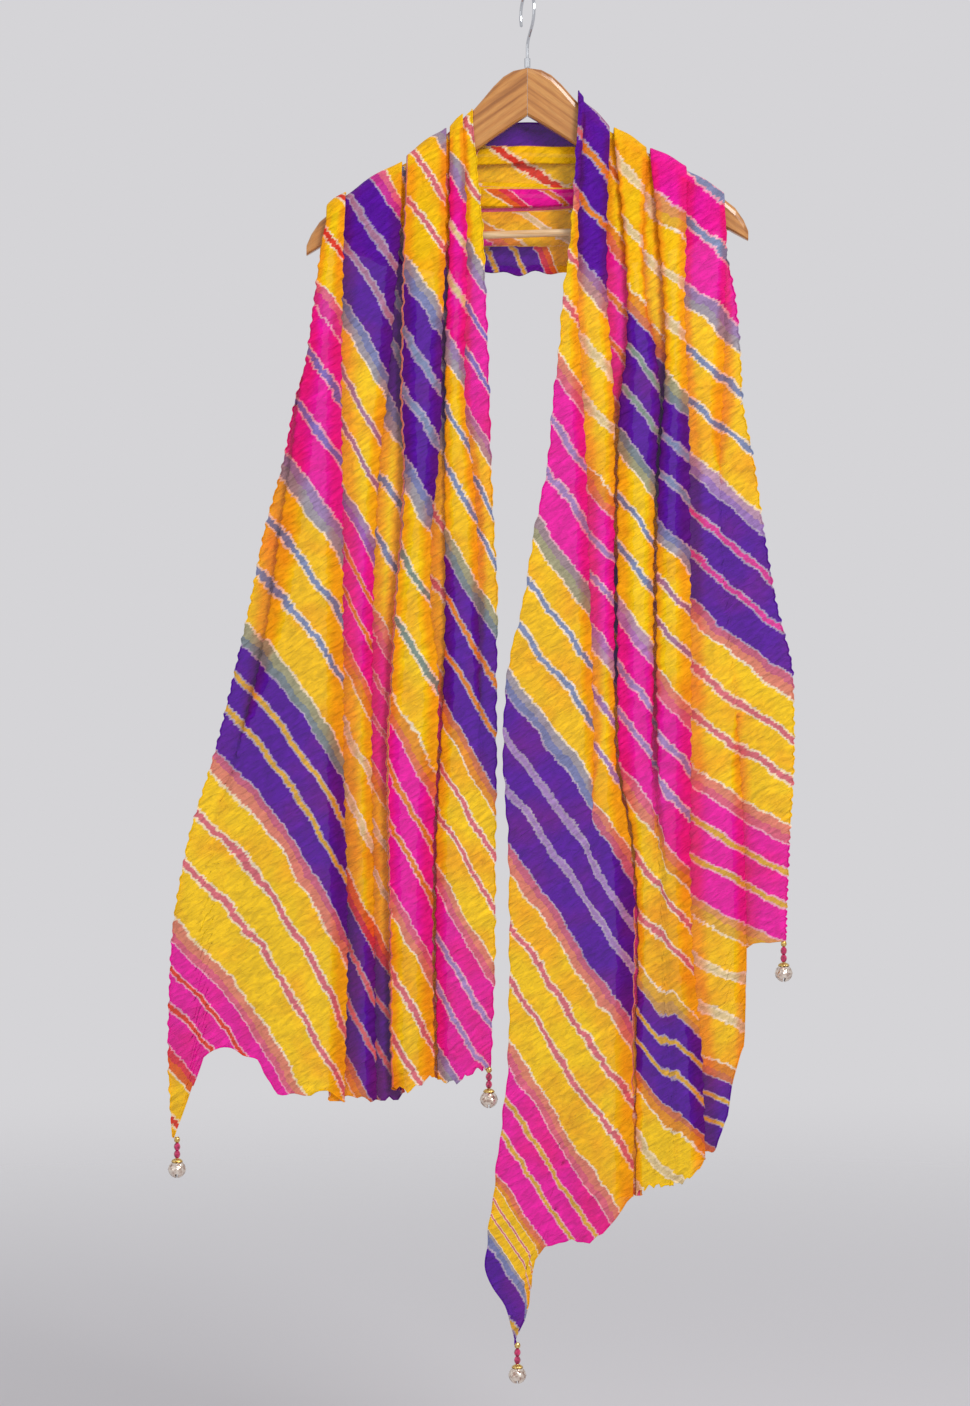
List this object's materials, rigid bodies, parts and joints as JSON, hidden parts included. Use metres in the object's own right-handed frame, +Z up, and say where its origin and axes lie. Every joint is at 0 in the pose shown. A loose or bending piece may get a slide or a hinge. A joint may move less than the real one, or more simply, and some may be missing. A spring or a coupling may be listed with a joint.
{
  "type": "dupatta stole on hanger",
  "caption": "Long crinkled sheer dupatta with diagonal dyed bands and a bell drop at each corner, hung over a wooden clothes hanger.",
  "frame": {"origin": "inside top of the hanger's hook, where a rail carries it", "axes": "+Z up along the fall of the cloth, -Y to the front, X along the hanger's arms"},
  "size_m": [0.6256, 0.0515, 1.3944],
  "materials": {
    "chiffon": "sheer crinkled chiffon, resist-dyed in yellow, pink and purple bands",
    "wood": "clear lacquer",
    "hook_wire": "polished",
    "beads": "polished",
    "bell_metal": "plated, worn"
  },
  "bodies": {
    "stole_and_hanger": {"stole_left_fall": "chiffon", "stole_back": "chiffon", "stole_right_fall": "chiffon", "hanger_arm_left": "wood", "hanger_arm_right": "wood", "hanger_bar": "wood", "hanger_hook": "hook_wire"},
    "latkan_left_outer": {"latkan_beads_left_outer": "beads", "latkan_bell_left_outer": "bell_metal"},
    "latkan_left_inner": {"latkan_beads_left_inner": "beads", "latkan_bell_left_inner": "bell_metal"},
    "latkan_right_outer": {"latkan_beads_right_outer": "beads", "latkan_bell_right_outer": "bell_metal"},
    "latkan_right_inner": {"latkan_beads_right_inner": "beads", "latkan_bell_right_inner": "bell_metal"}
  },
  "joints": [
    {"name": "swing_left_outer", "type": "hinge", "parent": "stole_and_hanger", "child": "latkan_left_outer", "pos_m": [-0.35, -0.01697, -1.149], "axis": [1, 0, 0], "range_deg": [-60, 60]},
    {"name": "swing_left_inner", "type": "hinge", "parent": "stole_and_hanger", "child": "latkan_left_inner", "pos_m": [-0.0386, -0.01121, -1.08], "axis": [1, 0, 0], "range_deg": [-60, 60]},
    {"name": "swing_right_outer", "type": "hinge", "parent": "stole_and_hanger", "child": "latkan_right_outer", "pos_m": [0.2565, -0.00907, -0.954], "axis": [1, 0, 0], "range_deg": [-60, 60]},
    {"name": "swing_right_inner", "type": "hinge", "parent": "stole_and_hanger", "child": "latkan_right_inner", "pos_m": [-0.0102, -0.01971, -1.354], "axis": [1, 0, 0], "range_deg": [-60, 60]}
  ]
}
